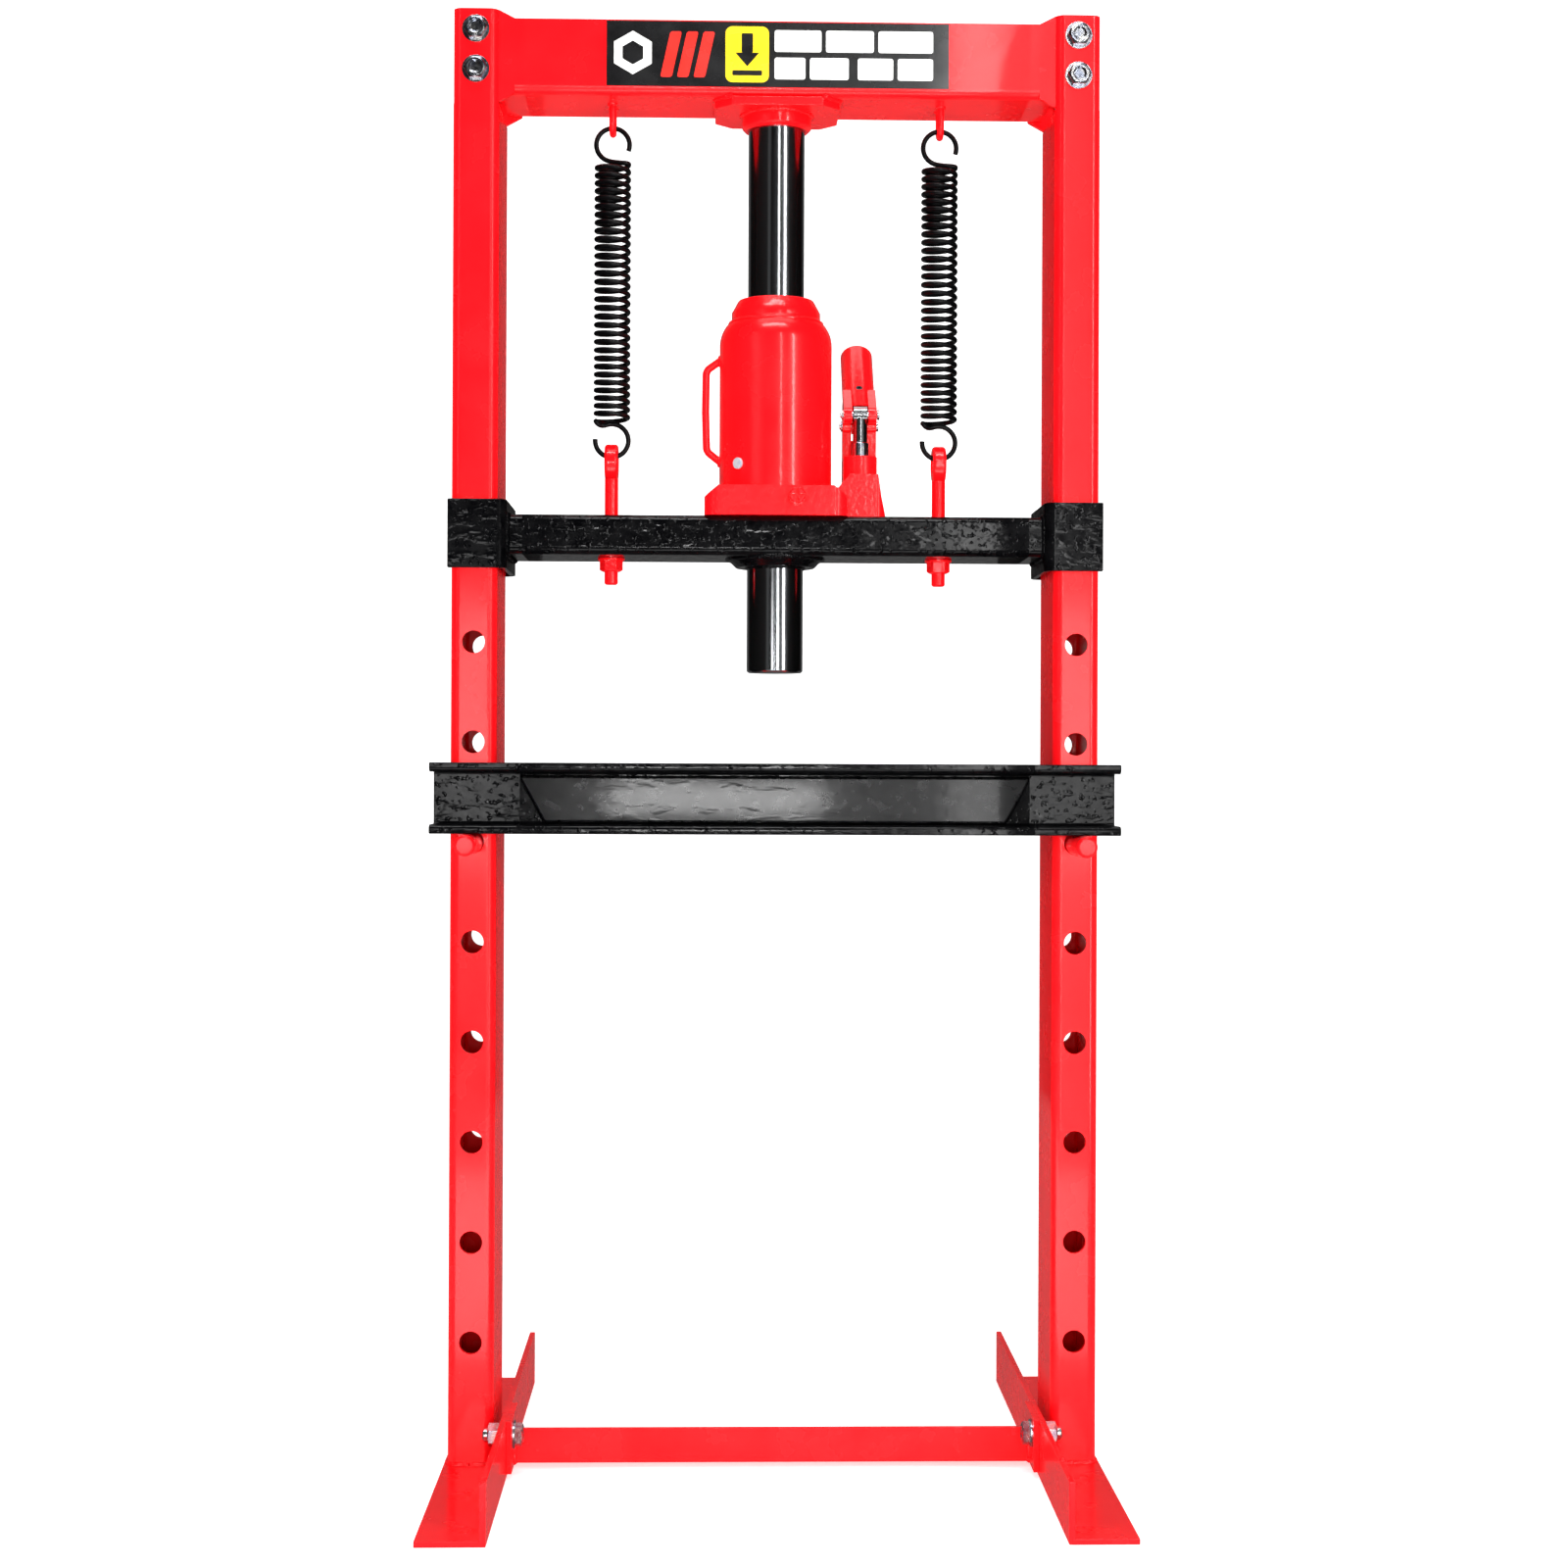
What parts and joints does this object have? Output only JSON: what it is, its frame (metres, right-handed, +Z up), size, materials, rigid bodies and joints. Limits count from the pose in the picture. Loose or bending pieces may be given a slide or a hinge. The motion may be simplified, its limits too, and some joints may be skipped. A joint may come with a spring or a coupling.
{
  "type": "hydraulic shop press",
  "caption": "Floor-standing H-frame shop press: bottle jack hung under a crossbeam pushes a sprung crosshead and ram down over a pinned bed.",
  "frame": {"origin": "On the floor, midway between the two posts and midway along the two feet.", "axes": "+Z up along the ram; +Y to the rear, so the label faces -Y; +X to the right seen from the front, towards the hand pump."},
  "size_m": [0.593, 0.515, 1.274],
  "materials": {
    "red_paint": "gloss enamel, slightly wavy",
    "black_paint": "gloss paint over rough steel",
    "black_spring_steel": "black coated spring wire",
    "chrome_plate": "polished hard chrome",
    "zinc_plate": "bright zinc",
    "machined_steel": "turned steel",
    "dark_screw": "oiled steel",
    "black_rubber": "moulded rubber",
    "printed_label": "glossy vinyl sheet"
  },
  "bodies": {
    "frame": {"right_post": "red_paint", "left_post": "red_paint", "right_foot": "red_paint", "left_foot": "red_paint", "lower_crossbar": "red_paint", "upper_crossbeam": "red_paint", "ram_socket_plate": "red_paint", "ram_cup": "red_paint", "front_label": "printed_label", "corner_bolts": "zinc_plate", "crossbar_bolts": "zinc_plate", "frame_washers": "zinc_plate", "frame_nuts": "zinc_plate", "spring_hangers": "red_paint", "upper_spring_loops": "black_spring_steel", "spring_coils": "black_spring_steel", "jack_ram": "chrome_plate", "ram_piston": "chrome_plate", "piston_seal": "black_rubber"},
    "crosshead": {"crosshead_beam": "black_paint", "right_guide_bracket": "black_paint", "left_guide_bracket": "black_paint", "ram_flange": "black_paint", "press_ram": "chrome_plate", "eyebolts": "red_paint", "eyebolt_washers": "zinc_plate", "eyebolt_nuts": "zinc_plate", "lower_spring_loops": "black_spring_steel", "jack_base": "red_paint", "check_balls": "zinc_plate", "jack_cylinder": "machined_steel", "reservoir_tube": "red_paint", "filler_plug": "zinc_plate", "reservoir_cap": "red_paint", "gland_nut": "red_paint", "rod_wiper": "black_rubber", "carry_handle": "red_paint", "pump_cylinder": "machined_steel", "pump_gland": "zinc_plate"},
    "pump_plunger": {"pump_plunger": "chrome_plate"},
    "handle_socket": {"handle_socket": "red_paint", "link_pins": "zinc_plate", "link_pin_clips": "zinc_plate", "socket_screw": "dark_screw"},
    "release_valve": {"release_valve": "red_paint"},
    "bed": {"front_bed_channel": "black_paint", "rear_bed_channel": "black_paint", "front_bed_stiffener": "black_paint", "rear_bed_stiffener": "black_paint", "bed_spacers": "black_paint"},
    "right_bed_pin": {"right_bed_pin": "red_paint"},
    "left_bed_pin": {"left_bed_pin": "red_paint"}
  },
  "joints": [
    {"name": "crosshead_slide", "type": "slide", "parent": "frame", "child": "crosshead", "axis": [0, 0, 1], "range_m": [0, 0.12], "deforming": ["spring_coils"]},
    {"name": "handle_socket_pivot", "type": "hinge", "parent": "crosshead", "child": "handle_socket", "pos_m": [0.075, 0.00502, 0.919], "axis": [1, 0, 0], "range_deg": [0, 54]},
    {"name": "pump_plunger_slide", "type": "slide", "parent": "crosshead", "child": "pump_plunger", "axis": [0, 0, 1], "range_m": [-0.02, 0]},
    {"name": "release_valve_turn", "type": "hinge", "parent": "crosshead", "child": "release_valve", "pos_m": [0.018, -0.056, 0.85], "axis": [0, -1, 0], "range_deg": [0, 360]},
    {"name": "bed_lift", "type": "slide", "parent": "frame", "child": "bed", "axis": [0, 0, 1], "range_m": [0, 0.0872]},
    {"name": "right_bed_pin_pull", "type": "slide", "parent": "frame", "child": "right_bed_pin", "axis": [0, -1, 0], "range_m": [0, 0.23]},
    {"name": "left_bed_pin_pull", "type": "slide", "parent": "frame", "child": "left_bed_pin", "axis": [0, -1, 0], "range_m": [0, 0.23]}
  ],
  "couplings": [
    {"joint": "pump_plunger_slide", "follows": "handle_socket_pivot", "m_per_rad": -0.017341}
  ]
}
